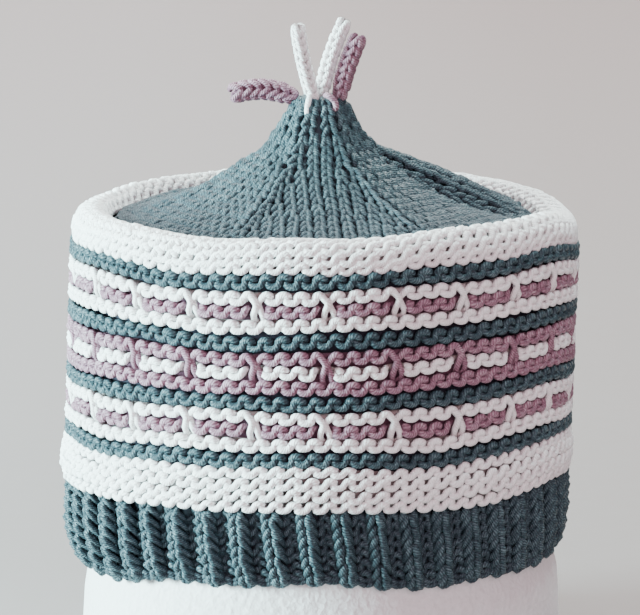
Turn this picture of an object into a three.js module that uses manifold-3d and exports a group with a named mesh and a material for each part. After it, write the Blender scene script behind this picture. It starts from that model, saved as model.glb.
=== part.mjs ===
// A knitted nightcap pulled over a plain cloth-covered display cylinder.
// The cap is worked in the round in three yarns: a ribbed hem, a cream band, garter-stitch stripes
// with slipped stitches, a cream edge that rolls over, and a tent-like crown that ends in four short
// knitted cords. Every band of yarn is a solid of its own, and neighbours keep a small gap.
// Millimetres. +Z is up, the front faces -Y, and the origin is the centre of the stand's foot.
import * as THREE from "three";
import { mergeVertices } from "three/addons/utils/BufferGeometryUtils.js";
import Module from "manifold-3d";

const wasm = await Module();
wasm.setup();

// Stitch counts: one rib takes two stitches, and the slipped stitches come every fourth.
const REPEATS = 23;
const STITCHES_PER_REPEAT = 4;
const STITCHES = REPEATS * STITCHES_PER_REPEAT;
const RIBS = STITCHES / 2;
const GORES = 6;

// How far round from the front the first slipped stitch sits, in degrees.
const FIRST_SLIPPED = 1;

// Facets round the plain rings, and the gap that neighbours keep.
const FACETS = 40;
const GAP = 0.3;

// The stand, and how far it widens to its foot.
const STAND_RADIUS = 73;
const STAND_FLARE = 3;
const STAND_EDGE = 3;
const STAND_SHOULDER = 6;
const HEM_HEIGHT = 40;

// The knitted walls. The stripes stand off the stand by the cap's ease, and the ribs cling closer to it.
const CAP_EASE = 2.6;
const RIB_EASE = 0.6;
const GARTER_WALL = 4.4;
const RIDGE_HEIGHT = 5;
const RIDGE_DEPTH = 1.2;
const SLIPPED_YARN = 1.8;
const RIB_HEIGHT = 22.7;
const RIB_CREST_INSET = 0.6;
const RIB_DEPTH = 2.4;
const HEM_TUCK = 3.4;
const RIB_TWIST = 2;
const BAND_HEIGHT = 13.2;
const BAND_BULGE = 0.9;
const FOLD_INSET = 0.7;
const FOLD_RISE = 3.2;
const FOLD_RADIUS = 6.5;
const FOLD_WALL = 3.8;
const FOLD_TURN = 150;

// The crown: how far its edge lies under the fold's top, and how far its tip rises over it.
const CROWN_DROP = 3.5;
const CROWN_WALL = 3.2;
const TIP_RISE = 32;
const TIP_RADIUS = 7.6;
const TIP_LEAN = 1.9;
const FIRST_CREASE = 31;

// The crown's soft fold at the right and behind: how far it rises, and the way it faces, in degrees.
const CROWN_SWELL = 4.6;
const SWELL_ANGLE = 125;

// How the cap sits askew: its lower half bulges to the left, by less on the inside, where it follows the stand.
const SIDE_BULGE = 2.9;
const STAND_SHIFT = 0.8;

// How the hem, the top of the lower band and the rolled edge wave up and down round the cap. Angles are
// degrees from the front, positive to the right, and the heights up from level are shares of WAVE_HEIGHT.
const WAVE_HEIGHT = 7;
const WAVES = [
  { angle: -150, hem: -0.29, band: 0, edge: 0 },
  { angle: -90, hem: -1, band: -0.6, edge: -0.17 },
  { angle: -60, hem: -0.86, band: -0.43, edge: 0 },
  { angle: -30, hem: -0.31, band: -0.06, edge: -0.16 },
  { angle: 0, hem: 0, band: 0, edge: 0 },
  { angle: 30, hem: -0.46, band: -0.2, edge: 0.23 },
  { angle: 60, hem: -0.51, band: 0, edge: 0.2 },
  { angle: 90, hem: -0.34, band: -0.17, edge: -0.34 },
  { angle: 150, hem: -0.14, band: 0, edge: 0 },
];

// The cords' diameters and lengths.
const MAUVE_CORD = 6.3;
const CREAM_CORD = 5.5;
const MAUVE_LENGTH = 19.5;
const CREAM_LENGTH = 24.6;

const YARN = {
  sage: { color: 0x61787a, roughness: 0.9, metalness: 0 },
  cream: { color: 0xe9e4dc, roughness: 0.9, metalness: 0 },
  mauve: { color: 0x9c7a86, roughness: 0.9, metalness: 0 },
  cloth: { color: 0xe6e4e1, roughness: 1, metalness: 0 },
};

// The stripes over the lower band, from the bottom up, with their heights as shares of RIDGE_HEIGHT. A slipped
// stripe is two ridges of one yarn with a ridge of another between them, and its slipped stitches cross that
// middle ridge.
const STRIPES = [
  { name: "garter_ridge_1", yarn: "sage", height: 1 },
  { name: "slipped_lower", yarn: "cream", fill: "mauve", under: 0.88, middle: 0.88, over: 0.78 },
  { name: "garter_ridge_2", yarn: "sage", height: 1 },
  { name: "slipped_middle", yarn: "mauve", fill: "cream", under: 0.92, middle: 0.9, over: 0.88 },
  { name: "garter_ridge_3", yarn: "sage", height: 1.06 },
  { name: "slipped_upper", yarn: "cream", fill: "mauve", under: 0.94, middle: 0.78, over: 0.88 },
  { name: "garter_ridge_4", yarn: "sage", height: 1.06 },
];

// The crown's outline. reach is the share of the way from the tip's radius out to the edge, rise the share
// of the way from the edge up to the tip, facet how far the round section flattens between creases, and
// swell the share of CROWN_SWELL.
const CROWN_SECTIONS = [
  { reach: 1.0, rise: 0.0, facet: 0.0, swell: 0 },
  { reach: 0.86, rise: 0.035, facet: 0.3, swell: 0.5 },
  { reach: 0.69, rise: 0.11, facet: 0.55, swell: 1 },
  { reach: 0.49, rise: 0.245, facet: 0.6, swell: 1 },
  { reach: 0.38, rise: 0.345, facet: 0.6, swell: 0.8 },
  { reach: 0.265, rise: 0.46, facet: 0.5, swell: 0.5 },
  { reach: 0.185, rise: 0.545, facet: 0.4, swell: 0.2 },
  { reach: 0.125, rise: 0.64, facet: 0.3, swell: 0 },
  { reach: 0.07, rise: 0.8, facet: 0.15, swell: 0 },
  { reach: 0.0, rise: 1.0, facet: 0.0, swell: 0 },
];

// The cords. seat is the foot's place on the tip in shares of its radius, heading 0 points to the front and
// 90 to the right, pitch is the angle above level, and bow is how far the middle stands off the straight
// line, as a share of the length. stand_off is the foot's height over the tip in shares of the cord.
const CORDS = [
  {
    name: "mauve_cord_left", yarn: "mauve", diameter: MAUVE_CORD, length: MAUVE_LENGTH,
    seat: [-1.04, 0.07], stand_off: 0.04, heading: -90, pitch: 0, bow: 0.11,
  },
  {
    name: "cream_cord_left", yarn: "cream", diameter: CREAM_CORD, length: CREAM_LENGTH,
    seat: [-0.26, -0.5], stand_off: 0, heading: -80, pitch: 76, bow: -0.03,
  },
  {
    name: "cream_cord_right", yarn: "cream", diameter: CREAM_CORD, length: CREAM_LENGTH,
    seat: [0.12, 0.5], stand_off: 0, heading: 100, pitch: 72, bow: 0.04,
  },
  {
    name: "mauve_cord_right", yarn: "mauve", diameter: MAUVE_CORD, length: MAUVE_LENGTH,
    seat: [0.75, -0.14], stand_off: 0, heading: 80, pitch: 75, bow: 0.03,
  },
];

// A cord's outline, from its foot to its free end: half a width in shares of the diameter, and the share of
// the length it lies at.
const CORD_SECTIONS = [
  { width: 0.3, along: 0 },
  { width: 0.42, along: 0.12 },
  { width: 0.5, along: 0.35 },
  { width: 0.5, along: 0.65 },
  { width: 0.5, along: 0.9 },
  { width: 0.36, along: 1 },
];
const CORD_SIDES = 10;

// Heights and radii that follow from the sizes above.
const CAP_INNER = STAND_RADIUS + CAP_EASE;
const CAP_RADIUS = CAP_INNER + GARTER_WALL;
const RIB_CREST = CAP_RADIUS - RIB_CREST_INSET;
const BAND_FOOT = HEM_HEIGHT + RIB_HEIGHT;
const STRIPES_FOOT = BAND_FOOT + BAND_HEIGHT;
const stripeHeight = (s) => (s.height ?? s.under + s.middle + s.over) * RIDGE_HEIGHT;
const FOLD_FOOT = STRIPES.reduce((z, s) => z + stripeHeight(s), STRIPES_FOOT);
const FOLD_OUTER = CAP_RADIUS - FOLD_INSET;
const FOLD_CENTRE_RADIUS = FOLD_OUTER - FOLD_RADIUS;
const FOLD_CENTRE_HEIGHT = FOLD_FOOT + FOLD_RISE;
const FOLD_TOP = FOLD_CENTRE_HEIGHT + FOLD_RADIUS;
const CROWN_EDGE = FOLD_TOP - CROWN_DROP;
const STAND_TOP = CROWN_EDGE - CROWN_WALL - GAP + WAVE_HEIGHT * Math.min(...WAVES.map((w) => w.edge));
const TIP_HEIGHT = FOLD_TOP + TIP_RISE;

const radians = THREE.MathUtils.degToRad;
const TURN = 2 * Math.PI;
const STITCH_ANGLE = TURN / STITCHES;

// A closed surface with only positions, whose shared vertices are merged.
function closed(geometry) {
  geometry.deleteAttribute("normal");
  geometry.deleteAttribute("uv");
  return mergeVertices(geometry, 1e-4);
}

// Turns a closed profile of [radius, height] points round the z axis. shape may move each point: it gets
// the angle, radius and height, the step round the ring and the point's number, and returns the first three.
function revolve(profile, steps, shape = (p) => p) {
  const points = profile.map(([r, z]) => new THREE.Vector2(r, z));
  const lathe = new THREE.LatheGeometry(points, steps);
  const position = lathe.getAttribute("position");
  for (let i = 0; i <= steps; i++) {
    const step = i % steps;
    for (let j = 0; j < points.length; j++) {
      const angle = (step / steps) * TURN;
      const p = shape({ angle, r: points[j].x, z: points[j].y, step, point: j });
      position.setXYZ(i * points.length + j, p.r * Math.sin(p.angle), -p.r * Math.cos(p.angle), p.z);
    }
  }
  return closed(lathe);
}

// Moves every vertex of a geometry.
function warp(geometry, move) {
  const position = geometry.getAttribute("position");
  const v = new THREE.Vector3();
  for (let i = 0; i < position.count; i++) {
    move(v.fromBufferAttribute(position, i));
    position.setXYZ(i, v.x, v.y, v.z);
  }
  return geometry;
}

// The height in one column of the waves at an angle in degrees, eased between its rows.
function wave(column, degrees) {
  const turn = WAVES.map((w) => w.angle).concat(WAVES[0].angle + 360);
  const angle = degrees < turn[0] ? degrees + 360 : degrees;
  const next = turn.findIndex((a) => a > angle);
  const share = THREE.MathUtils.smoothstep(angle, turn[next - 1], turn[next]);
  return WAVE_HEIGHT * THREE.MathUtils.lerp(WAVES[next - 1][column], WAVES[next % WAVES.length][column], share);
}

// How far a place is moved sideways by the bulge: fully at the cap's outside, less on the stand.
function bulge(radius, z) {
  const up = THREE.MathUtils.clamp((z - BAND_FOOT) / (FOLD_FOOT - BAND_FOOT), 0, 1);
  const out = THREE.MathUtils.clamp((radius - STAND_RADIUS) / (CAP_RADIUS - STAND_RADIUS), 0, 1);
  return -THREE.MathUtils.lerp(STAND_SHIFT, SIDE_BULGE, out) * (1 - up);
}

// Sets a piece of the cap askew, as the whole cap sits on the stand. The waves fade out towards the tip.
function drape(geometry) {
  return warp(geometry, (v) => {
    const radius = Math.hypot(v.x, v.y);
    const degrees = THREE.MathUtils.radToDeg(Math.atan2(v.x, -v.y));
    const heights = [HEM_HEIGHT, BAND_FOOT, FOLD_FOOT, TIP_HEIGHT + CROWN_SWELL];
    const levels = ["hem", "band", "edge", "edge"].map((column) => wave(column, degrees));
    const upper = Math.max(heights.findIndex((h) => h > v.z), 1);
    const share = (v.z - heights[upper - 1]) / (heights[upper] - heights[upper - 1]);
    const lift = THREE.MathUtils.lerp(levels[upper - 1], levels[upper], share);
    v.x += bulge(radius, v.z);
    v.z += lift * Math.min(radius / FOLD_CENTRE_RADIUS, 1) ** 2;
  });
}

function solidOf(geometry) {
  return new wasm.Manifold(
    new wasm.Mesh({
      numProp: 3,
      vertProperties: geometry.getAttribute("position").array,
      triVerts: new Uint32Array(geometry.index.array),
    }),
  );
}

function geometryOf(solid) {
  const { vertProperties, triVerts } = solid.getMesh();
  const geometry = new THREE.BufferGeometry();
  geometry.setAttribute("position", new THREE.BufferAttribute(vertProperties, 3));
  geometry.setIndex(new THREE.BufferAttribute(triVerts, 1));
  return geometry;
}

// A square-edged ring between two heights, half a gap short at each end.
function plainRing(inner, outer, foot, top) {
  const [low, high] = [foot + GAP / 2, top - GAP / 2];
  return [[inner, low], [outer, low], [outer, high], [inner, high], [inner, low]];
}

// A ridge of garter stitch: its outer face swells to a crest halfway up.
function garterRidge(foot, height) {
  const [low, high] = [foot + GAP / 2, foot + height - GAP / 2];
  const trough = CAP_RADIUS - RIDGE_DEPTH;
  return revolve(
    [
      [CAP_INNER, low],
      [trough, low],
      [CAP_RADIUS, (low + high) / 2],
      [trough, high],
      [CAP_INNER, high],
      [CAP_INNER, low],
    ],
    FACETS,
  );
}

// The two ridges of a slipped stripe, joined over the ridge between them by its slipped stitches. Each
// stitch is a strip of yarn whose two legs spread towards the bottom.
function slippedFrame(foot, stripe) {
  const [under, middle, over] = [stripe.under, stripe.middle, stripe.over].map((h) => h * RIDGE_HEIGHT);
  const lowRing = revolve(plainRing(CAP_INNER, CAP_RADIUS, foot, foot + under), FACETS);
  const highFoot = foot + under + middle;
  const highRing = revolve(plainRing(CAP_INNER, CAP_RADIUS, highFoot, highFoot + over), FACETS);
  const halfStitch = (CAP_RADIUS * STITCH_ANGLE) / 2;
  const [low, high] = [foot + under / 2, highFoot + over / 2];
  const [wide, narrow] = [halfStitch * 0.85, halfStitch * 0.4];
  const leg = new THREE.Shape([
    new THREE.Vector2(-wide, low),
    new THREE.Vector2(wide, low),
    new THREE.Vector2(narrow, high),
    new THREE.Vector2(-narrow, high),
  ]);
  let frame = solidOf(lowRing).add(solidOf(highRing));
  const back = slippedBack();
  for (let i = 0; i < REPEATS; i++) {
    const strip = new THREE.ExtrudeGeometry(leg, { depth: SLIPPED_YARN, bevelEnabled: false });
    strip.rotateX(Math.PI / 2).translate(0, -back, 0);
    strip.rotateZ((i / REPEATS) * TURN + radians(FIRST_SLIPPED));
    frame = frame.add(solidOf(closed(strip)));
  }
  return geometryOf(frame);
}

// The radius of the back of the slipped stitches, where a flat strip's face lies clear inside the crests.
function slippedBack() {
  return CAP_RADIUS * Math.cos(TURN / FACETS / 2) - SLIPPED_YARN - GAP;
}

// The ridge between: it swells between the slipped stitches and runs behind them.
function slippedFill(foot, { under, middle }) {
  const behind = slippedBack() - GAP;
  const low = foot + under * RIDGE_HEIGHT;
  const profile = plainRing(CAP_INNER, behind, low, low + middle * RIDGE_HEIGHT);
  return revolve(profile, REPEATS * 3, (p) => {
    const repeat = Math.floor(p.step / 3);
    const place = [-0.5, 0.5, 2][p.step % 3];
    const swelling = place === 2 && p.r > CAP_INNER ? CAP_RADIUS - GAP - behind : 0;
    const angle = (repeat * STITCHES_PER_REPEAT + place) * STITCH_ANGLE + radians(FIRST_SLIPPED);
    return { angle, r: p.r + swelling, z: p.z };
  });
}

// The ribbed hem. Each rib has two crest corners and a valley beside it. The ribs slant by RIB_TWIST degrees
// on their way down, and the foot tucks in on the stand.
function ribbedHem() {
  const [low, high] = [HEM_HEIGHT, BAND_FOOT - GAP / 2];
  const inner = STAND_RADIUS + RIB_EASE;
  const levels = [
    { z: low, inset: HEM_TUCK, depth: 0.5 * RIB_DEPTH },
    { z: low + RIB_HEIGHT * 0.4, inset: HEM_TUCK * 0.1, depth: RIB_DEPTH },
    { z: high, inset: 0, depth: RIB_DEPTH },
  ];
  const profile = [
    [inner, low],
    ...levels.map(({ z, inset }) => [RIB_CREST - inset, z]),
    [inner, high],
    [inner, low],
  ];
  const corners = [-0.24, 0.24, 0.5];
  return revolve(profile, RIBS * corners.length, (p) => {
    const rib = Math.floor(p.step / corners.length) + 0.5;
    const corner = p.step % corners.length;
    const sunk = corner === 2 ? levels[p.point - 1]?.depth ?? 0 : 0;
    const down = (high - p.z) / (high - low);
    const turn = radians(FIRST_SLIPPED + RIB_TWIST * down);
    return { angle: ((rib + corners[corner]) / RIBS) * TURN + turn, r: p.r - sunk, z: p.z };
  });
}

// The plain band over the hem, which swells a little.
function lowerBand() {
  const [low, high] = [BAND_FOOT + GAP / 2, STRIPES_FOOT - GAP / 2];
  const edge = CAP_RADIUS - RIDGE_DEPTH;
  return revolve(
    [
      [CAP_INNER, low],
      [edge, low],
      [CAP_RADIUS + BAND_BULGE, low + (high - low) * 0.3],
      [CAP_RADIUS + BAND_BULGE, low + (high - low) * 0.7],
      [edge, high],
      [CAP_INNER, high],
      [CAP_INNER, low],
    ],
    FACETS,
  );
}

// The rolled edge: a wall that rises, turns over and comes down inside to the crown.
function rolledEdge() {
  const turns = 4;
  const arc = (radius) =>
    Array.from({ length: turns + 1 }, (_, i) => {
      const a = (radians(FOLD_TURN) * i) / turns;
      return [FOLD_CENTRE_RADIUS + radius * Math.cos(a), FOLD_CENTRE_HEIGHT + radius * Math.sin(a)];
    });
  const low = FOLD_FOOT + GAP / 2;
  const inner = FOLD_RADIUS - FOLD_WALL;
  const start = [FOLD_CENTRE_RADIUS + inner, low];
  return revolve(
    [start, [FOLD_OUTER, low], ...arc(FOLD_RADIUS), ...arc(inner).reverse(), start],
    FACETS,
  );
}

// The crown: a hollow tent with creases between its gores. Its profile goes out over the top and comes
// back underneath, a wall's thickness below.
function crown() {
  const edgeAngle = radians(180 - FOLD_TURN);
  const edgeRadius = FOLD_CENTRE_RADIUS - FOLD_RADIUS * Math.cos(edgeAngle) - GAP;
  const outer = CROWN_SECTIONS.map(({ reach, rise, facet, swell }) => ({
    r: TIP_RADIUS + reach * (edgeRadius - TIP_RADIUS),
    z: CROWN_EDGE + rise * (TIP_HEIGHT - CROWN_EDGE),
    facet,
    swell: swell * CROWN_SWELL,
  })).reverse();
  const inner = outer.map((p, i) => {
    const [a, b] = [outer[Math.max(i - 1, 0)], outer[Math.min(i + 1, outer.length - 1)]];
    const run = new THREE.Vector2(b.r - a.r, b.z - a.z).normalize();
    return { ...p, r: Math.max(p.r + run.y * CROWN_WALL, 0.2 * p.r), z: p.z - run.x * CROWN_WALL };
  });
  inner[0].z = TIP_HEIGHT - CROWN_WALL;
  inner.at(-1).z = CROWN_EDGE - CROWN_WALL;
  const points = [
    { r: 0, z: TIP_HEIGHT, facet: 0, swell: 0 },
    ...outer,
    ...inner.reverse(),
    { r: 0, z: TIP_HEIGHT - CROWN_WALL, facet: 0, swell: 0 },
  ].reverse();
  const half = TURN / GORES / 2;
  const crease = radians(FIRST_CREASE);
  const geometry = revolve(points.map(({ r, z }) => [r, z]), GORES * 6, (p) => {
    const fromMiddle = THREE.MathUtils.euclideanModulo(p.angle - crease, 2 * half) - half;
    const flat = Math.cos(half) / Math.cos(fromMiddle);
    const { facet, swell } = points[p.point];
    const towards = Math.max(Math.cos(p.angle - radians(SWELL_ANGLE)), 0) ** 2;
    return { angle: p.angle, r: p.r * (1 - facet * (1 - flat)), z: p.z + swell * towards };
  });
  return warp(geometry, (v) => {
    v.x -= TIP_LEAN * THREE.MathUtils.smoothstep(v.z, CROWN_EDGE, (CROWN_EDGE + TIP_HEIGHT) / 2);
  });
}

// A short knitted cord: a round bar with a narrow foot, bent along a curve.
function cord({ diameter, length, seat, stand_off: standOff, heading, pitch, bow }) {
  const outline = CORD_SECTIONS.map(({ width, along }) => [width * diameter, along * length]);
  const bar = revolve([[0, 0], ...outline, [0, length]], CORD_SIDES);
  const [level, climb] = [Math.cos(radians(pitch)), Math.sin(radians(pitch))];
  const out = new THREE.Vector3(Math.sin(radians(heading)), -Math.cos(radians(heading)), 0);
  const way = out.clone().multiplyScalar(level).setZ(climb);
  const across = new THREE.Vector3(0, 0, 1).cross(out);
  const up = way.clone().cross(across);
  const footSlope = pitch > 45 ? CORD_SECTIONS[0].width * diameter * level : 0;
  const foot = new THREE.Vector3(
    seat[0] * TIP_RADIUS - TIP_LEAN,
    seat[1] * TIP_RADIUS,
    TIP_HEIGHT + GAP + footSlope + standOff * diameter,
  );
  const end = foot.clone().addScaledVector(way, length);
  const control = foot.clone().lerp(end, 0.5).addScaledVector(up, 2 * bow * length);
  const curve = new THREE.QuadraticBezierCurve3(foot, control, end);
  return warp(bar, (v) => {
    const t = v.z / length;
    const normal = curve.getTangent(t).cross(across);
    const [x, y] = [v.x, v.y];
    v.copy(curve.getPoint(t)).addScaledVector(across, x).addScaledVector(normal, y);
  });
}

// The stand: a cylinder under cloth, a little wider at the foot.
function stand() {
  const straight = HEM_HEIGHT + WAVE_HEIGHT * Math.min(...WAVES.map((w) => w.hem));
  const cylinder = revolve(
    [
      [0, 0],
      [STAND_RADIUS + STAND_FLARE - STAND_EDGE, 0],
      [STAND_RADIUS + STAND_FLARE, STAND_EDGE],
      [STAND_RADIUS, straight],
      [STAND_RADIUS, STAND_TOP - STAND_SHOULDER],
      [STAND_RADIUS - STAND_SHOULDER * 0.3, STAND_TOP - STAND_SHOULDER * 0.3],
      [STAND_RADIUS - STAND_SHOULDER, STAND_TOP],
      [0, STAND_TOP],
    ],
    FACETS,
  );
  return warp(cylinder, (v) => {
    v.x += bulge(0, v.z);
  });
}

const cap = new THREE.Group();
cap.name = "nightcap_on_stand";

function add(name, yarn, geometry) {
  const mesh = new THREE.Mesh(geometry, new THREE.MeshStandardMaterial(YARN[yarn]));
  mesh.name = name;
  cap.add(mesh);
}

add("display_stand", "cloth", stand());
add("ribbed_hem", "sage", drape(ribbedHem()));
add("lower_band", "cream", drape(lowerBand()));
let foot = STRIPES_FOOT;
for (const stripe of STRIPES) {
  if (stripe.fill) {
    add(`${stripe.name}_ridges`, stripe.yarn, drape(slippedFrame(foot, stripe)));
    add(`${stripe.name}_blocks`, stripe.fill, drape(slippedFill(foot, stripe)));
  } else {
    add(stripe.name, stripe.yarn, drape(garterRidge(foot, stripeHeight(stripe))));
  }
  foot += stripeHeight(stripe);
}
add("rolled_edge", "cream", drape(rolledEdge()));
add("crown", "sage", drape(crown()));
for (const each of CORDS) add(each.name, each.yarn, cord(each));

// Puts the middle of the whole on the z axis.
const middle = new THREE.Box3().setFromObject(cap).getCenter(new THREE.Vector3());
for (const mesh of cap.children) mesh.geometry.translate(-middle.x, -middle.y, 0);

export default cap;
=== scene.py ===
import math

import bmesh
import bpy
import numpy as np
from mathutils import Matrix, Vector


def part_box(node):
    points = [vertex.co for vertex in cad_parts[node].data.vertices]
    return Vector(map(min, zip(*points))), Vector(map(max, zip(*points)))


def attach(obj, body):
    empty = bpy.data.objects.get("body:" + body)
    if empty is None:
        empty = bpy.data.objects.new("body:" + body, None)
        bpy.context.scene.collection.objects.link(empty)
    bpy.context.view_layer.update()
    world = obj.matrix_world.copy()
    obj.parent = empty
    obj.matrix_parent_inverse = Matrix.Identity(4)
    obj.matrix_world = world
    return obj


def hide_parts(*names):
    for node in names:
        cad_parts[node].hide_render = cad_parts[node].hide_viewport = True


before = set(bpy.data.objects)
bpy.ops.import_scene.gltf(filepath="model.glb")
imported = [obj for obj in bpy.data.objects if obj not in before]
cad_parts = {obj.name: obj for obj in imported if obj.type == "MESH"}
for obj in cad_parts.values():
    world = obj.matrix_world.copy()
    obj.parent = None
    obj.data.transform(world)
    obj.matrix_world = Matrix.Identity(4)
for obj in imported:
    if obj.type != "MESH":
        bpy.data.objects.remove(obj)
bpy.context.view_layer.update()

MM = 0.001
TURN = 2 * math.pi

# Stitch counts round the cap.
STITCHES = 92
REPEAT = 4
FIRST_SLIPPED = 1.0

# The cap's form, as in the part.
HEM_HEIGHT = 40.0
BAND_FOOT = 62.7
STRIPES_FOOT = 75.9
FOLD_FOOT = 135.7
CAP_RADIUS = 80.0
STAND_RADIUS = 73.0
SIDE_BULGE = 2.9
STAND_SHIFT = 0.8
FOLD_OUTER = 79.3
FOLD_RADIUS = 6.5
FOLD_RISE = 3.2
FOLD_TURN = 150
FOLD_TOP = FOLD_FOOT + FOLD_RISE + FOLD_RADIUS
TIP_HEIGHT = FOLD_TOP + 32
TIP_RADIUS = 7.6
TIP_LEAN = 1.9
CROWN_EDGE = FOLD_TOP - 3.5
FIRST_CREASE = 31
GORES = 6

# How the hem, the top of the lower band and the rolled edge wave up and down: degrees from the front,
# positive to the right, then millimetres up from level.
WAVE_ANGLES = [-150, -90, -60, -30, 0, 30, 60, 90, 150, 210]
WAVE_HEM = [-2, -6.5, -6, -2.2, 0, -3.2, -2.8, 0.4, 0, -2]
WAVE_BAND = [0, -4.2, -3, -0.4, 0, -1.4, 0, -1.2, 0, 0]
WAVE_EDGE = [0, -1.2, 0, -1.1, 0, 1.6, 1.4, -2.4, 0, 0]

# The yarn, how far its loops swing out of the fabric, and the points along a loop and round the yarn.
YARN = 2.2
LOOP_DEPTH = 1.25
SEGMENTS = 16
KNIT_SEGMENTS = 12
SIDES = 6

# Hand knitting is uneven. Each row is a wave's size, its count round the cap, its turn along the fabric
# and its start.
UNEVEN_DRAPE = [(0.28, 5, 0.11, 0), (0.24, 9, -0.17, 2)]
UNEVEN_ROWS = [(0.12, 7, 1, 0), (0.1, 17, 3, 0)]
UNEVEN_YARN = [(0.05, 23, 1, 0), (0.04, 61, 2, 0)]
PROUD_THICKER = 0.05
UNEVEN_PLACE = 0.035
UNEVEN_RISE = 0.09
UNEVEN_DEPTH = 0.1

rng = np.random.default_rng(11)


def smooth(x):
    """x from 0 to 1, eased at both ends."""
    x = np.clip(x, 0, 1)
    return x * x * (3 - 2 * x)


def eased(x, knots, values):
    """A table's value at x, eased between its rows."""
    knots, values = np.asarray(knots, float), np.asarray(values, float)
    i = np.clip(np.searchsorted(knots, x, side="right") - 1, 0, len(knots) - 2)
    share = smooth((x - knots[i]) / (knots[i + 1] - knots[i]))
    return values[i] + (values[i + 1] - values[i]) * share


def curved(x, knots, values):
    """A smooth curve through a table's rows."""
    knots, values = np.asarray(knots, float), np.asarray(values, float)
    slope = np.gradient(values, knots)
    i = np.clip(np.searchsorted(knots, x, side="right") - 1, 0, len(knots) - 2)
    h = knots[i + 1] - knots[i]
    s = np.clip((x - knots[i]) / h, 0, 1)
    return (
        values[i] * (1 + 2 * s) * (1 - s) ** 2
        + slope[i] * h * s * (1 - s) ** 2
        + values[i + 1] * s * s * (3 - 2 * s)
        + slope[i + 1] * h * s * s * (s - 1)
    )


def waves(table, angle, along):
    """The sum of a table's waves."""
    return sum(size * np.sin(count * angle + turn * along + start) for size, count, turn, start in table)


stand_low, stand_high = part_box("display_stand")
CENTRE_X = (stand_low.x + stand_high.x) / 2 / MM + STAND_SHIFT


def draped(angle, r, z, extra=0):
    """The place of a point of the cap, which sits askew on the stand."""
    degrees = (np.degrees(angle) - WAVE_ANGLES[0]) % 360 + WAVE_ANGLES[0]
    hem, band, edge = (eased(degrees, WAVE_ANGLES, w) for w in (WAVE_HEM, WAVE_BAND, WAVE_EDGE))
    low = np.clip((z - HEM_HEIGHT) / (BAND_FOOT - HEM_HEIGHT), -0.2, 1)
    high = np.clip((z - BAND_FOOT) / (FOLD_FOOT - BAND_FOOT), 0, 1)
    lift = hem + (band - hem) * low + (edge - band) * high
    out = np.clip((r - STAND_RADIUS) / (CAP_RADIUS - STAND_RADIUS), 0, 1)
    shift = (STAND_SHIFT + (SIDE_BULGE - STAND_SHIFT) * out) * (1 - high)
    uneven = waves(UNEVEN_DRAPE, angle, z)
    x = r * np.sin(angle) - shift + CENTRE_X - extra
    y = -r * np.cos(angle)
    z = z + (lift + uneven) * np.clip(r / (FOLD_OUTER - FOLD_RADIUS), 0, 1) ** 2
    return np.stack([x, y, z], -1)


def wall_path(table):
    """A path down a wall from a table of heights and radii, and the distances of the table's rows.

    The path gives radius, height and outward normal at a distance, measured downwards.
    """
    z, r = (np.asarray(c, float) for c in zip(*table))
    p = np.concatenate([[0], np.cumsum(np.hypot(np.diff(z), np.diff(r)))])

    def path(at):
        rr, zz = curved(at, p, r), curved(at, p, z)
        dr = curved(at + 0.1, p, r) - curved(at - 0.1, p, r)
        dz = curved(at + 0.1, p, z) - curved(at - 0.1, p, z)
        n = np.hypot(dr, dz) + 1e-9
        return rr, zz, -dz / n, dr / n

    return path, p


def tube(points, normals, radius, closed=True, sides=SIDES):
    """Vertices, faces and UVs of a tube of yarn round a line of points. An open one gets lids."""
    after = np.roll(points, -1, 0) if closed else np.vstack([points[1:], points[-1:]])
    before = np.roll(points, 1, 0) if closed else np.vstack([points[:1], points[:-1]])
    tangent = after - before
    tangent /= np.linalg.norm(tangent, axis=1, keepdims=True) + 1e-9
    n1 = normals - (normals * tangent).sum(1, keepdims=True) * tangent
    n1 /= np.linalg.norm(n1, axis=1, keepdims=True) + 1e-9
    n2 = np.cross(tangent, n1)
    a = np.arange(sides) / sides * TURN
    radius = np.broadcast_to(radius, (len(points),))[:, None, None]
    ring = np.cos(a)[None, :, None] * n1[:, None] + np.sin(a)[None, :, None] * n2[:, None]
    verts = (points[:, None] + ring * radius).reshape(-1, 3)
    count = len(points)
    i = np.arange(count if closed else count - 1)
    j = np.arange(sides)
    here = (i * sides)[:, None]
    there = ((i + 1) % count * sides)[:, None]
    faces = np.stack([here + j, here + (j + 1) % sides, there + (j + 1) % sides, there + j], -1)
    length = np.concatenate([[0], np.cumsum(np.linalg.norm(np.diff(points, axis=0), axis=1))])
    closing = length[-1] + np.linalg.norm(points[0] - points[-1])
    ends = np.append(length, closing)
    u0, u1 = ends[i][:, None] + 0 * j, ends[i + 1][:, None] + 0 * j
    v0, v1 = (j / sides)[None] + 0 * i[:, None], ((j + 1) / sides)[None] + 0 * i[:, None]
    uv = np.stack([np.stack(corner, -1) for corner in ((u0, v0), (u0, v1), (u1, v1), (u1, v0))], -2)
    faces, uv = faces.reshape(-1, 4), uv.reshape(-1, 4, 2)
    if not closed:
        last = (count - 1) * sides
        lids = [[0, k, k - 1, k - 2] for k in range(sides - 1, 1, -2)]
        lids += [[last, last + k, last + k + 1, last + k + 2] for k in range(1, sides - 1, 2)]
        faces = np.vstack([faces, lids])
        uv = np.concatenate([uv, np.zeros((len(lids), 4, 2))])
    return verts, faces, uv


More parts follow.
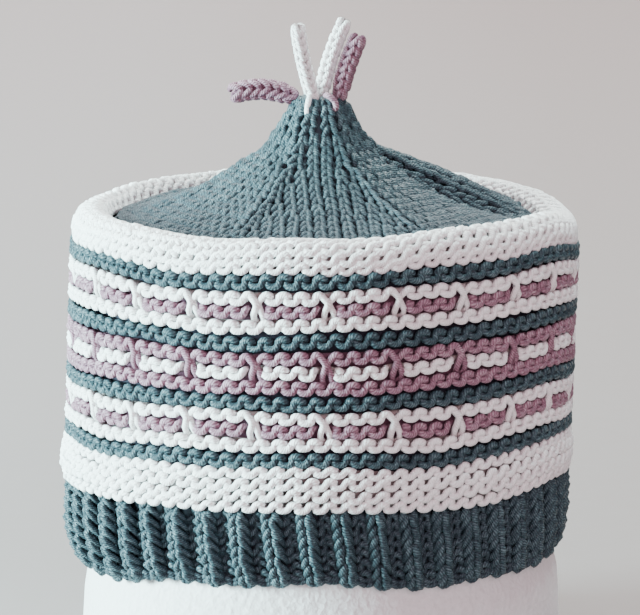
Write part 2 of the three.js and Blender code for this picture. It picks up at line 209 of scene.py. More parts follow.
class Knit:
    """Collects the tubes of one piece and makes a mesh of them.

    Each point has an inset, from 0 on the face to 1 behind it, mostly by how deep it lies in the fabric. It
    paints shade into the yarn's colour, and the yarn's gloss follows it too.
    """

    def __init__(self):
        self.verts, self.faces, self.uvs, self.insets, self.count = [], [], [], [], 0

    def add(self, verts, faces, uv, inset=0.0):
        self.insets.append(np.repeat(inset, len(verts) // np.size(inset)))
        self.verts.append(verts)
        self.faces.append(faces + self.count)
        self.uvs.append(uv)
        self.count += len(verts)

    def piece(self, name, material, slot, nodes):
        verts, faces, uvs = np.vstack(self.verts) * MM, np.vstack(self.faces), np.concatenate(self.uvs)
        mesh = bpy.data.meshes.new(name)
        mesh.vertices.add(len(verts))
        mesh.vertices.foreach_set("co", verts.ravel())
        mesh.loops.add(faces.size)
        mesh.loops.foreach_set("vertex_index", faces.ravel().astype(np.int32))
        mesh.polygons.add(len(faces))
        mesh.polygons.foreach_set("loop_start", (np.arange(len(faces)) * 4).astype(np.int32))
        mesh.update(calc_edges=True)
        mesh.polygons.foreach_set("use_smooth", np.ones(len(faces), bool))
        layer = mesh.uv_layers.new(name="yarn")
        layer.data.foreach_set("uv", uvs.ravel().astype(np.float32))
        # The inset attribute carries the painted shade to the yarn's material.
        inset = mesh.attributes.new("inset", "FLOAT", "POINT")
        inset.data.foreach_set("value", np.concatenate(self.insets).astype(np.float32))
        mesh.validate()
        return finish_piece(name, mesh, material, nodes)


def smooth_mesh(bm, name):
    """A smooth mesh of a bmesh, which is freed."""
    mesh = bpy.data.meshes.new(name)
    bm.to_mesh(mesh)
    bm.free()
    mesh.polygons.foreach_set("use_smooth", np.ones(len(mesh.polygons), bool))
    return mesh


def finish_piece(name, mesh, material, nodes):
    """Puts a mesh into the scene as a piece that replaces these solids."""
    obj = bpy.data.objects.new(name, mesh)
    bpy.context.scene.collection.objects.link(obj)
    mesh.materials.append(material)
    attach(obj, "root")
    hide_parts(*nodes)
    return obj


# The ways a stitch can lie: share of the loop, place across in stitches, rise and depth. A table that ends at
# half a loop is mirrored. The rises of the purl bumps are millimetres from the middle of their ridge, for one
# RIDGE_HEIGHT high, and the other rises and all depths are shares.
RIDGE_HEIGHT = 5.0
LOOPS = {
    "upper": [
        (0, -0.5, 0.7, -1.1), (0.1, -0.5, 0.6, -1.1), (0.18, -0.46, 0.3, -0.6), (0.26, -0.45, -0.4, 0.55),
        (0.34, -0.37, -1.0, 1), (0.42, -0.2, -1.3, 1), (0.5, -0.02, -1.35, 1), (0.58, 0.14, -1.15, 1),
        (0.66, 0.23, -0.45, 1), (0.74, 0.26, 0.4, 0.5), (0.82, 0.32, 0.7, -0.5), (0.9, 0.42, 0.7, -1.1),
        (1, 0.5, 0.7, -1.1),
    ],
    "lower": [
        (0, -0.5, 1.35, 1), (0.08, -0.34, 1.25, 1), (0.15, -0.23, 0.85, 0.7), (0.22, -0.2, 0.2, -0.2),
        (0.32, -0.2, -0.5, -1.1), (0.5, 0, -0.7, -1.1), (0.66, 0.14, -0.7, -1.1), (0.76, 0.22, -0.4, -0.3),
        (0.84, 0.25, 0.35, 0.7), (0.92, 0.33, 1.1, 1), (1, 0.5, 1.35, 1),
    ],
    "purl": [
        (0, -0.5, 1.2, 1), (0.08, -0.36, 1.05, 1), (0.15, -0.26, 0.6, 0.5), (0.2, -0.28, 0.15, -0.5),
        (0.26, -0.42, 0, -0.2), (0.32, -0.43, -0.35, 0.75), (0.4, -0.3, -0.95, 1), (0.5, -0.1, -1.2, 1),
        (0.6, 0.08, -1.05, 1), (0.7, 0.2, -0.45, 1), (0.8, 0.28, 0.35, 1), (0.9, 0.37, 0.95, 1),
        (1, 0.5, 1.2, 1),
    ],
    "knit": [
        (0, -0.5, 1, -1), (0.08, -0.3, 1, -0.8), (0.16, -0.1, 0.75, 0.3), (0.25, -0.15, 0, 1),
        (0.34, -0.29, -0.75, 0.6), (0.42, -0.24, -1, -0.6), (0.5, 0, -1, -1),
    ],
    "plait": [
        (0, -0.5, 1, -1), (0.08, -0.4, 1, -0.6), (0.16, -0.36, 0.8, 0.6), (0.25, -0.2, 0, 1),
        (0.34, -0.08, -0.8, 0.7), (0.42, -0.05, -1, -0.4), (0.5, 0, -1, -1),
    ],
    "rib_knit": [
        (0, -0.5, -1, -0.8), (0.08, -0.49, -0.9, -0.5), (0.16, -0.45, -0.5, 0.3), (0.25, -0.33, 0, 1.1),
        (0.34, -0.2, 0.45, 1.1), (0.42, -0.13, 0.85, 0.2), (0.5, 0, 1.0, -0.9), (0.58, 0.14, 0.85, 0.6),
        (0.66, 0.21, 0.45, 1.5), (0.75, 0.34, 0, 1.4), (0.84, 0.46, -0.5, 0.6), (0.92, 0.49, -0.9, -0.4),
        (1, 0.5, -1, -0.8),
    ],
    "rib_purl": [
        (0, -0.5, -1, -0.6), (0.1, -0.34, -0.85, 0.2), (0.2, -0.22, -0.5, -0.4), (0.3, -0.25, 0.1, -0.8),
        (0.4, -0.2, 0.75, 0), (0.5, 0.02, 1.0, 1.0), (0.6, 0.22, 0.75, 0.6), (0.7, 0.26, 0.1, -0.6),
        (0.8, 0.22, -0.5, -0.4), (0.9, 0.36, -0.85, 0.2), (1, 0.5, -1, -0.6),
    ],
}
# The shares of a loop at which its points lie.
T = np.arange(SEGMENTS) / SEGMENTS
KNIT_T = np.arange(KNIT_SEGMENTS) / KNIT_SEGMENTS


def loop(table, shares):
    """A table's other columns at shares of the loop, which goes on into the next stitch."""
    rows = [tuple(row) for row in table]
    if rows[-1][0] < 1:
        rows += [(1 - t, -across, *rest) for t, across, *rest in rows[-2::-1]]
    before, after = rows[-2], rows[1]
    rows = [(before[0] - 1, before[1] - 1, *before[2:])] + rows + [(after[0] + 1, after[1] + 1, *after[2:])]
    t, *columns = zip(*rows)
    return [curved(shares, t, column) for column in columns]


def course(count, kind, height=1.0, depth=LOOP_DEPTH, uneven=1.0):
    """One course: the place in stitches, rise and depth of each point, a row for each stitch."""
    shares = T if kind in ("upper", "lower", "purl") else KNIT_T
    across, rise, out = loop(LOOPS[kind], shares)

    def vary(size):
        return uneven * size * rng.standard_normal((count, 1)) * np.sin(math.pi * shares)

    place = np.arange(count)[:, None] + 0.5 + across + vary(UNEVEN_PLACE)
    return place, height * (rise + vary(UNEVEN_RISE)), depth * (out + vary(UNEVEN_DEPTH))


def depth_shade(depth):
    """The painted shade of a point by its depth in loop depths, where 1 is the face and -1 the back."""
    return np.clip(0.5 - 0.5 * depth, 0, 1)


def lay(knit, path, at, loops, count, phase, yarn=YARN, depth_shift=0, thin=0, shade=1.0):
    """Lays a course on a path at a distance down it."""
    place, rise, out = (a.ravel() for a in loops)
    angle = place / count * TURN + phase
    r, z, nr, nz = path(at - rise + waves(UNEVEN_ROWS, angle, at))
    reach = out + depth_shift
    points = draped(angle, r + nr * reach, z + nz * reach)
    normals = np.stack([nr * np.sin(angle), -nr * np.cos(angle), nz], -1)
    thick = 1 + waves(UNEVEN_YARN, angle, at) + PROUD_THICKER * np.tanh(out) - np.ravel(thin)
    # Points that lie deeper get painted shade, scaled by shade.
    knit.add(*tube(points, normals, yarn / 2 * thick), shade * depth_shade(out / LOOP_DEPTH))


def sleeve_faces(around, n):
    """The faces of a ring of closed sections with n points each."""
    i, j = np.arange(around)[:, None], np.arange(n)[None]
    here, there = i * n, (i + 1) % around * n
    return np.stack([here + j, here + (j + 1) % n, there + (j + 1) % n, there + j], -1).reshape(-1, 4)


def lining(knit, path, start, end, inset, steps=6, thickness=0.8, around=STITCHES, least=0, shade=1.0):
    """A closed sleeve behind the stitches, which shuts the holes between them. It is painted in shade, fully
    unless shade says less, so the holes show dark.
    """
    at = np.linspace(start, end, steps)
    r, z, nr, nz = path(at)
    r = np.maximum(r, least + inset)
    front = np.stack([r - nr * inset, z - nz * inset], -1)
    back = np.stack([r - nr * (inset + thickness), z - nz * (inset + thickness)], -1)
    section = np.vstack([front, back[::-1]])
    angle = np.arange(around) / around * TURN
    n = len(section)
    verts = draped(np.repeat(angle, n), np.tile(section[:, 0], around), np.tile(section[:, 1], around))
    faces = sleeve_faces(around, n)
    knit.add(verts, faces, np.zeros((len(faces), 4, 2)), shade)


def new_group(name, outputs):
    """A shader node group with these float outputs, and its output node."""
    group = bpy.data.node_groups.new(name, "ShaderNodeTree")
    for output in outputs:
        group.interface.new_socket(output, in_out="OUTPUT", socket_type="NodeSocketFloat")
    return group, group.nodes.new("NodeGroupOutput")


def math_node(nodes, links, kind, *values):
    """A Math node's output, from numbers or other nodes' outputs."""
    node = nodes.new("ShaderNodeMath")
    node.operation = kind
    for socket, value in zip(node.inputs, values):
        if isinstance(value, (int, float)):
            socket.default_value = value
        else:
            links.new(value, socket)
    return node.outputs[0]


def noise(nodes, links, place, scale, detail):
    """A noise's value at the piece's own coordinates."""
    node = nodes.new("ShaderNodeTexNoise")
    node.inputs["Scale"].default_value = scale
    node.inputs["Detail"].default_value = detail
    links.new(place.outputs["Object"], node.inputs["Vector"])
    return node.outputs["Fac"]


def bump(nodes, links, height, strength, distance, normal=None):
    """A bump on top of another normal."""
    node = nodes.new("ShaderNodeBump")
    node.inputs["Strength"].default_value = strength
    node.inputs["Distance"].default_value = distance
    links.new(height, node.inputs["Height"])
    if normal is not None:
        links.new(normal, node.inputs["Normal"])
    return node.outputs[0]


PLIES = 2
TWIST_PITCH = 1.5
FIBRE_SCALE = 1200
PATCH_SCALE = 260
# How much the twist, the patches and the fibres each sway the yarn's tone, and its three colours' tones. The
# twist's share paints shade into the grooves between the plies and light on their crests.
TONE_SHARES = {"Twist": 0.25, "Patch": 0.35, "Fibre": 0.5}
TONES = (0.36, 0.62, 0.8)
FIBRE_STRENGTH = 0.7
FIBRE_HEIGHT = 0.4
TWIST_STRENGTH = 0.8
YARN_SPECULAR = 0.25


def ply_group():
    """Plied cotton: the twist of the strands along the yarn, their fibres, and lighter and darker patches."""
    group, out = new_group("plied_yarn", ["Twist", "Fibre", "Patch"])
    nodes, links = group.nodes, group.links
    uv = nodes.new("ShaderNodeUVMap")
    uv.uv_map = "yarn"
    split = nodes.new("ShaderNodeSeparateXYZ")
    links.new(uv.outputs[0], split.inputs[0])
    along = math_node(nodes, links, "MULTIPLY", split.outputs[0], TURN / TWIST_PITCH)
    round_ = math_node(nodes, links, "MULTIPLY", split.outputs[1], TURN * PLIES)
    phase = math_node(nodes, links, "ADD", along, round_)
    wave = math_node(nodes, links, "SINE", phase)
    links.new(math_node(nodes, links, "ABSOLUTE", wave), out.inputs["Twist"])
    place = nodes.new("ShaderNodeTexCoord")
    links.new(noise(nodes, links, place, FIBRE_SCALE, 4), out.inputs["Fibre"])
    links.new(noise(nodes, links, place, PATCH_SCALE, 3), out.inputs["Patch"])
    return group


PLY = ply_group()


def yarn_material(name, dark, light, glint_colour, shadow_colour, sheen, roughness, twist_height):
    """Cotton yarn from its dark tone to its lightest flecks, which are painted glints. Painted shade darkens
    the grooves of its twist and the yarn that lies inset, which is matt too.
    """
    mat = bpy.data.materials.new(name)
    mat.use_nodes = True
    nodes, links = mat.node_tree.nodes, mat.node_tree.links
    shader = nodes["Principled BSDF"]
    ply = nodes.new("ShaderNodeGroup")
    ply.node_tree = PLY
    twist, patch, fibre = (
        math_node(nodes, links, "MULTIPLY", ply.outputs[output], share)
        for output, share in TONE_SHARES.items()
    )
    tone = math_node(nodes, links, "ADD", math_node(nodes, links, "ADD", twist, patch), fibre)
    ramp = nodes.new("ShaderNodeValToRGB")
    stops = ramp.color_ramp.elements
    stops[0].position, stops[1].position = TONES[:2]
    stops[0].color = (*dark, 1)
    stops[1].color = (*light, 1)
    # The lightest stop paints glints on the yarn where the twist's crests and the noise run high.
    stops.new(TONES[2]).color = (*glint_colour, 1)
    links.new(tone, ramp.inputs[0])
    # Painted shade: the colour goes towards the shadow colour as the inset attribute rises, deep in the fabric
    # and in the linings.
    inset = nodes.new("ShaderNodeAttribute")
    inset.attribute_name = "inset"
    shade = nodes.new("ShaderNodeMix")
    shade.data_type = "RGBA"
    links.new(inset.outputs["Fac"], shade.inputs["Factor"])
    links.new(ramp.outputs[0], shade.inputs["A"])
    shade.inputs["B"].default_value = (*shadow_colour, 1)
    links.new(shade.outputs["Result"], shader.inputs["Base Color"])
    matt = math_node(nodes, links, "MULTIPLY", inset.outputs["Fac"], 1 - roughness)
    links.new(math_node(nodes, links, "ADD", matt, roughness), shader.inputs["Roughness"])
    shader.inputs["Specular IOR Level"].default_value = YARN_SPECULAR
    shader.inputs["Sheen Weight"].default_value = sheen
    shader.inputs["Sheen Roughness"].default_value = 0.5
    shader.inputs["Sheen Tint"].default_value = (*light, 1)
    fibres = bump(nodes, links, ply.outputs["Fibre"], FIBRE_STRENGTH, FIBRE_HEIGHT * MM)
    relief = bump(nodes, links, ply.outputs["Twist"], TWIST_STRENGTH, twist_height * MM, fibres)
    links.new(relief, shader.inputs["Normal"])
    return mat


# The three yarns: dark and light colours, the colour of their painted glints and of their painted shade, then
# sheen, roughness and the height of the twist.
YARNS = {
    "sage": (
        (0.014, 0.024, 0.033), (0.038, 0.073, 0.085), (0.15, 0.23, 0.25), (0.029, 0.029, 0.043),
        0.04, 0.38, 0.18,
    ),
    "cream": (
        (0.76, 0.74, 0.72), (0.93, 0.925, 0.92), (0.97, 0.97, 0.965), (0.38, 0.32, 0.31),
        0.1, 0.75, 0.17,
    ),
    "mauve": (
        (0.145, 0.065, 0.095), (0.295, 0.160, 0.210), (0.53, 0.40, 0.44), (0.16, 0.073, 0.107),
        0.12, 0.45, 0.19,
    ),
}
MATERIALS = {yarn: (yarn_material(f"{yarn}_cotton", *look), f"yarn_{yarn}") for yarn, look in YARNS.items()}

# The straight wall's path, from the foot of the rolled edge down to the lower band. The mid line of the
# fabric lies under its face by the loops' depth and half the yarn.
FACE = LOOP_DEPTH + YARN / 2
# How far behind the others each yarn's lining lies, and how far the linings of a slip-stitch stripe's
# ridges and blocks reach past their own edges, so that the darker yarn shows in the gaps.
BEHIND = {"sage": 0, "mauve": 0.15, "cream": 0.3}
RIDGE_LAP = {"mauve": 1.4, "cream": 0}
BLOCK_LAP = {"mauve": 0.8, "cream": -1.2}
SAGE_LAP = 1.1
PHASE = math.radians(FIRST_SLIPPED) - TURN / STITCHES / 2
WALL_TOP = FOLD_FOOT + 8
wall, _ = wall_path([(WALL_TOP, CAP_RADIUS - FACE), (BAND_FOOT - 8, CAP_RADIUS - FACE)])


def wall_at(z):
    """The distance down the wall of a height."""
    return WALL_TOP - z


def lay_ridge(knit, foot, height):
    """A garter ridge of two courses, whose bumps take turns."""
    for kind in ("upper", "lower"):
        loops = course(STITCHES, kind, height / RIDGE_HEIGHT)
        lay(knit, wall, wall_at(foot + height / 2), loops, STITCHES, PHASE)


# The slipped stitch, by share of the loop: place across in stitches, rise in its own ridge, share of the
# skipped ridge that it has crossed, and depth. Its legs cross at the foot of its own ridge and spread below.
SLIPPED = [
    (0, -0.5, 1.35, 0, 1), (0.08, -0.37, 0.9, 0, 1), (0.15, -0.22, -0.4, 0, 1.1),
    (0.21, -0.03, -1.6, 0, 1.3), (0.27, -0.04, -2.5, 0.05, 1.1), (0.35, -0.16, -2.5, 0.5, 0.7),
    (0.43, -0.24, -2.5, 0.95, 0.3), (0.47, -0.15, -2.5, 1.3, -1.3), (0.53, 0.2, -2.5, 1.3, -1.3),
    (0.57, 0.36, -2.5, 0.95, 0.3), (0.65, 0.24, -2.5, 0.5, 0.6), (0.73, 0.09, -2.5, 0.05, 0.5),
    (0.79, 0.03, -1.6, 0, 0.4), (0.85, 0.2, -0.4, 0, 0.8), (0.92, 0.37, 0.9, 0, 1), (1, 0.5, 1.35, 0, 1),
]
COLUMNS = np.arange(0, STITCHES, REPEAT)
MIDDLING = np.sin(math.pi * T)
# The yarn behind a slipped stitch lies this deep, in loop depths, and is this much thinner. A slipped stitch is
# drawn thin too.
FLOAT_DEPTH = 1.3
FLOAT_THIN = 0.35
STRETCHED_THIN = 0.1


def slip(loops, height, skipped):
    """Draws every fourth stitch of a course down over the skipped ridge."""
    place, rise, out = loops
    across, own, crossed, depth = loop(SLIPPED, T)
    place[COLUMNS] = COLUMNS[:, None] + 0.5 + across
    rise[COLUMNS] = height / RIDGE_HEIGHT * own - skipped * crossed
    out[COLUMNS] = LOOP_DEPTH * depth
    return place, rise, out


def float_behind(loops):
    """Carries a course's yarn behind every fourth stitch."""
    place, rise, out = loops
    s = np.arange(STITCHES)[:, None] + T
    beside = np.clip(np.minimum(s % REPEAT - 1, REPEAT - s % REPEAT), 0, 1)
    hidden = 1 - smooth((beside + 0.02) / 0.12)
    place[COLUMNS] = COLUMNS[:, None] + T
    rise[COLUMNS] = rise[:, :1].mean()
    out[:] = out * (1 - hidden) - LOOP_DEPTH * FLOAT_DEPTH * hidden
    return (place, rise, out), FLOAT_THIN * hidden


def slipped_stripe(name, foot, under, middle, over, yarn, fill):
    """A ridge, a block ridge of the other yarn behind, and a ridge whose slipped stitches cross the block."""
    ridge_knit, block_knit = Knit(), Knit()
    block_foot, top_foot = foot + under, foot + under + middle
    upper = course(STITCHES, "upper", over / RIDGE_HEIGHT)
    upper[1][COLUMNS] = upper[1][COLUMNS] * (1 - MIDDLING) + 0.5 * MIDDLING
    upper[2][COLUMNS] -= LOOP_DEPTH * 2 * MIDDLING**2
    lower = slip(course(STITCHES, "lower", over / RIDGE_HEIGHT), over, middle)
    stretched = np.zeros((STITCHES, SEGMENTS))
    stretched[COLUMNS] = STRETCHED_THIN * smooth(MIDDLING * 2 - 0.6)
    for loops, thin in ((upper, 0), (lower, stretched)):
        lay(ridge_knit, wall, wall_at(top_foot + over / 2), loops, STITCHES, PHASE, thin=thin)
    lay_ridge(ridge_knit, foot, under)
    lap = RIDGE_LAP[yarn]
    lining(ridge_knit, wall, wall_at(top_foot + over), wall_at(top_foot - lap), FACE + BEHIND[yarn], 2)
    lining(ridge_knit, wall, wall_at(block_foot + lap), wall_at(foot), FACE + BEHIND[yarn], 2)
    for kind in ("upper", "lower"):
        loops, thin = float_behind(course(STITCHES, kind, middle / RIDGE_HEIGHT))
        lay(block_knit, wall, wall_at(block_foot + middle / 2), loops, STITCHES, PHASE, thin=thin)
    lap = BLOCK_LAP[fill]
    lining(block_knit, wall, wall_at(top_foot + lap), wall_at(block_foot - lap), FACE + BEHIND[fill], 2)
    ridge_knit.piece(f"{name}_ridge_stitches", *MATERIALS[yarn], [f"{name}_ridges"])
    block_knit.piece(f"{name}_block_stitches", *MATERIALS[fill], [f"{name}_blocks"])


# Each stripe's heights and yarns, from the bottom up.
STRIPES = [
    ("garter_ridge_1", "sage", (5.0,), None),
    ("slipped_lower", "cream", (4.4, 4.4, 3.9), "mauve"),
    ("garter_ridge_2", "sage", (5.0,), None),
    ("slipped_middle", "mauve", (4.6, 4.5, 4.4), "cream"),
    ("garter_ridge_3", "sage", (5.3,), None),
    ("slipped_upper", "cream", (4.7, 3.9, 4.4), "mauve"),
    ("garter_ridge_4", "sage", (5.3,), None),
]

foot = STRIPES_FOOT
for name, yarn, heights, fill in STRIPES:
    if fill:
        slipped_stripe(name, foot, *heights, yarn, fill)
    else:
        knit = Knit()
        lay_ridge(knit, foot, heights[0])
        lining(knit, wall, wall_at(foot + heights[0] + SAGE_LAP), wall_at(foot - SAGE_LAP), FACE, 2)
        knit.piece(f"{name}_stitches", *MATERIALS[yarn], [name])
    foot += sum(heights)

# The lower band: reverse stockinette that bulges.
BAND_START = 4
BAND_ROWS = 4
BAND_LOOP = 0.82
band, _ = wall_path(
    [
        (STRIPES_FOOT + BAND_START, CAP_RADIUS - FACE),
        (STRIPES_FOOT, CAP_RADIUS - FACE - 0.2),
        (STRIPES_FOOT - 4.5, CAP_RADIUS - FACE + 0.8),
        (BAND_FOOT + 4, CAP_RADIUS - FACE + 0.8),
        (BAND_FOOT - 0.5, CAP_RADIUS - FACE - 0.3),
        (BAND_FOOT - 4, CAP_RADIUS - FACE - 0.6),
    ]
)
knit = Knit()
band_height = STRIPES_FOOT - BAND_FOOT
for row in range(BAND_ROWS):
    at = BAND_START + band_height * (row + 0.5) / BAND_ROWS
    lay(knit, band, at, course(STITCHES, "purl", BAND_LOOP), STITCHES, PHASE)
lining(knit, band, BAND_START, BAND_START + band_height, FACE, 6)
knit.piece("lower_band_stitches", *MATERIALS["cream"], ["lower_band"])

# The rolled edge: reverse stockinette that turns over and comes down inside.
fold_r = FOLD_OUTER - FOLD_RADIUS
fold_mid = FOLD_RADIUS - FACE
arc = [
    (FOLD_FOOT + FOLD_RISE + fold_mid * math.sin(a), fold_r + fold_mid * math.cos(a))
    for a in np.radians(np.linspace(FOLD_TURN + 25, 0, 12))
]
fold, fold_p = wall_path(arc + [(FOLD_FOOT, fold_r + fold_mid), (FOLD_FOOT - 4, fold_r + fold_mid)])
FOLD_ROWS = 6
FOLD_LOOP = 0.88
# The rows inside the fold are crowded, so they are lower, flatter and thinner, and lie a little out.
CROWDED_LOOP = 0.05
CROWDED_DEPTH = 0.25
CROWDED_YARN = 0.1
CROWDED_OUT = 0.2
knit = Knit()
start, end = fold_p[1] - 0.4, fold_p[-2]
for row in range(FOLD_ROWS):
    at = start + (end - start) * (row + 0.5) / FOLD_ROWS
    inner = 1 - smooth((at - start) / (end - start) * 1.4)
    height, depth = FOLD_LOOP - CROWDED_LOOP * inner, LOOP_DEPTH * (1 - CROWDED_DEPTH * inner)
    loops, yarn = course(STITCHES, "purl", height, depth), YARN * (1 - CROWDED_YARN * inner)
    lay(knit, fold, at, loops, STITCHES, PHASE, yarn, depth_shift=CROWDED_OUT * inner)
lining(knit, fold, start, end, LOOP_DEPTH + 0.3, 12, 0.6)
knit.piece("rolled_edge_stitches", *MATERIALS["cream"], ["rolled_edge"])

# The ribbed hem. Knit and purl stitches take turns; the purl ones lie back and the foot tucks in. A rib's
# loops reach RIB_LOOP up and down, so the rows overlap.
RIB_ROWS = 8
RIB_LOOP = 3.0
RIB_DEPTH = 1.0
RIB_TWIST = 2.0
RIB_INSET = 1.2
RIB_VALLEY = 3.0
TUCKED_VALLEY = 1.5
# RIB_SHADE and CAST_ON_SHADE set how much painted shade the hem's deep yarn and its cast-on rows get; its
# lining is painted half in shade.
RIB_SHADE = 0.2
RIB_SLIM = 0.1
RIB_SWELL = 0.12
HEAD_SINKS = 2.2
HEAD_REACH = 1.9
FOOT_REACH = -0.4
HEM_LINING = 4.3
CAST_ON = (0.5, 1.8)
CAST_ON_YARN = 0.8 * YARN
CAST_ON_SHADE = 0.45
rib_face = CAP_RADIUS - RIB_INSET
rib, rib_p = wall_path(
    [
        (BAND_FOOT + 4, rib_face - 1.1),
        (BAND_FOOT, rib_face - 1.0),
        (BAND_FOOT - 6, rib_face - 0.9),
        (HEM_HEIGHT + 8, rib_face - 1.2),
        (HEM_HEIGHT + 3, rib_face - 2.4),
        (HEM_HEIGHT, rib_face - 3.8),
        (HEM_HEIGHT - 0.9, rib_face - 4.2),
    ]
)
knit = Knit()
top, bottom = rib_p[1], rib_p[-2]
is_knit = (np.arange(STITCHES) % 2 == 0)[:, None]


def rib_crest(place):
    """1 on the middle of a knit stitch, 0 on the middle of a purl one."""
    return 0.5 + 0.5 * np.cos(TURN * (place - 0.5) / 2)


for row in range(RIB_ROWS):
    share = (row + 0.5) / RIB_ROWS
    at = top + (bottom - top) * share
    tuck = smooth((share - 0.6) / 0.4)
    knits, purls = (course(STITCHES, kind, RIB_LOOP, RIB_DEPTH) for kind in ("rib_knit", "rib_purl"))
    place, rise, out = (np.where(is_knit, a, b) for a, b in zip(knits, purls))
    thin = RIB_SLIM - RIB_SWELL * smooth(out)
    out = out - (RIB_VALLEY - TUCKED_VALLEY * tuck) * (1 - rib_crest(place))
    if row == 0:
        # The first row's heads lie behind the band.
        out = out - HEAD_SINKS * smooth(rise - 0.3)
        rise = np.minimum(rise, HEAD_REACH)
    if row == RIB_ROWS - 1:
        rise = np.maximum(rise, FOOT_REACH)
    phase = math.radians(FIRST_SLIPPED) + TURN / STITCHES / 2 + math.radians(RIB_TWIST) * share
    lay(knit, rib, at, (place, rise, out), STITCHES, phase, YARN, thin=thin, shade=RIB_SHADE)
place, rise, out = course(STITCHES, "plait", 0.5, 0.5)
for lift in CAST_ON:
    sunk = out + 0.3 - (0.9 + 0.3 * lift) * (1 - rib_crest(place))
    lay(knit, rib, bottom - lift, (place, rise, sunk), STITCHES, phase, CAST_ON_YARN, shade=CAST_ON_SHADE)
lining(knit, rib, top - 3, bottom + 0.7, HEM_LINING, 10, 0.4, least=STAND_RADIUS + 0.5, shade=0.5)
knit.piece("ribbed_hem_stitches", *MATERIALS["sage"], ["ribbed_hem"])

# The crown's outline as reach, rise and flattening between the creases, from the edge to the tip. It swells
# on the right, by degrees from the front.
REACH = [1.0, 0.86, 0.69, 0.49, 0.38, 0.265, 0.185, 0.125, 0.07, 0.0]
RISE = [0.0, 0.035, 0.11, 0.245, 0.345, 0.46, 0.545, 0.64, 0.8, 1.0]
FLAT = [0.0, 0.3, 0.55, 0.6, 0.6, 0.5, 0.4, 0.3, 0.15, 0.0, 0, 0]
SWELL = [0, 0.5, 1, 1, 0.8, 0.5, 0.2, 0, 0, 0, 0, 0]
CROWN_SWELL = 5.9
SWELL_FROM = [0, 58, 84, 101, 135, 200, 360]
SWELL_SHARE = [0, 0, -0.25, 1, 1, 0, 0]
# The gap between neighbouring solids and the crown's wall, as in the part.
GAP = 0.3
CROWN_WALL = 3.2
TIP_CLOSED = TIP_HEIGHT + GAP
edge_r = FOLD_OUTER - FOLD_RADIUS - FOLD_RADIUS * math.cos(math.radians(180 - FOLD_TURN)) - GAP
CROWN_R = np.append(TIP_RADIUS + np.array(REACH) * (edge_r - TIP_RADIUS), [TIP_RADIUS - 3.2, 0.8])
CROWN_Z = np.append(CROWN_EDGE + np.array(RISE) * (TIP_HEIGHT - CROWN_EDGE), [TIP_CLOSED, TIP_CLOSED])
CROWN_P = np.concatenate([[0], np.cumsum(np.hypot(np.diff(CROWN_R), np.diff(CROWN_Z)))])
TIP_RIM = CROWN_P[len(REACH) - 1]


def crown_point(at, gore, share):
    """Points of the crown at a distance up from its edge, in shares of half a gore from its middle."""
    r, z, flat, swell = (np.interp(at, CROWN_P, c) for c in (CROWN_R, CROWN_Z, FLAT, SWELL))
    half = math.pi / GORES
    phi = np.arctan(np.clip(share, -1.2, 1.2) * math.tan(half))
    r = r * (1 - flat * (1 - math.cos(half) / np.cos(phi)))
    angle = math.radians(FIRST_CREASE) + half + gore * 2 * half + phi
    z = z + swell * CROWN_SWELL * eased(np.degrees(angle) % 360, SWELL_FROM, SWELL_SHARE)
    lean = TIP_LEAN * smooth((z - CROWN_EDGE) / (TIP_HEIGHT - CROWN_EDGE) * 2)
    return draped(angle, r, z, lean)


def crown_face(at, gore, share):
    """Points of the crown and their outward normals."""
    p = crown_point(at, gore, share)
    up, aside = crown_point(at + 0.4, gore, share), crown_point(at, gore, share + 0.02)
    n = np.cross(aside - p, up - p)
    return p, n / np.linalg.norm(n, axis=1, keepdims=True)


CROWN_ROWS = 21
WALE = 3.9
CROWN_YARN = 2.1
CROWN_LOOP = 2.5
CROWN_DEPTH = 1.05
CROWN_UNEVEN = 1.6
CROWN_SUNK = 0.5
# The stitches beside a crease stand proud. The deep yarn gets painted shade, and the low rows, next to the
# rolled edge, get more painted shade.
CREASE_WIDTH = 2.6
CREASE_PLUMP = 0.35
CREASE_PROUD = 0.5
CROWN_SHADE = 0.55
LOW_SHADE = 0.34
knit = Knit()
for row in range(CROWN_ROWS + 2):
    at = TIP_RIM * (row + 0.3) / CROWN_ROWS
    r = float(np.interp(at, CROWN_P, CROWN_R))
    half_chord = r * math.sin(math.pi / GORES)
    wales = min(max(round(half_chord / WALE - 0.25), 1), 8)
    wale = min(WALE, half_chord / wales)
    places, normals, depths = [], [], []
    for gore in range(GORES):
        loops = course(2 * wales, "knit", CROWN_LOOP, CROWN_DEPTH, CROWN_UNEVEN)
        place, rise, out = (a.ravel() for a in loops)
        x = (place - wales) * wale
        # The last wale beside a crease widens to reach it.
        beyond = np.maximum(np.abs(x) - (wales - 1) * wale, 0)
        x += np.sign(x) * beyond * (half_chord - wales * wale) / wale
        line = np.exp(-(((half_chord - np.abs(x)) / CREASE_WIDTH) ** 2)) * smooth((at - 8) / 10)
        up = np.minimum(at + rise, CROWN_P[-1] - 0.5)
        p, n = crown_face(up, gore, x / half_chord)
        reach = out * (1 + CREASE_PLUMP * line) + CREASE_PROUD * line - CROWN_SUNK - CROWN_YARN / 2
        places.append(p + n * reach[:, None])
        normals.append(n)
        depths.append(out / CROWN_DEPTH)
    yarn_radius = CROWN_YARN / 2 * min(1, 0.55 + 0.45 * wale / WALE)
    inset = CROWN_SHADE * depth_shade(np.concatenate(depths)) + LOW_SHADE * (1 - smooth(1.1 * at / TIP_RIM))
    knit.add(*tube(np.vstack(places), np.vstack(normals), yarn_radius), inset)

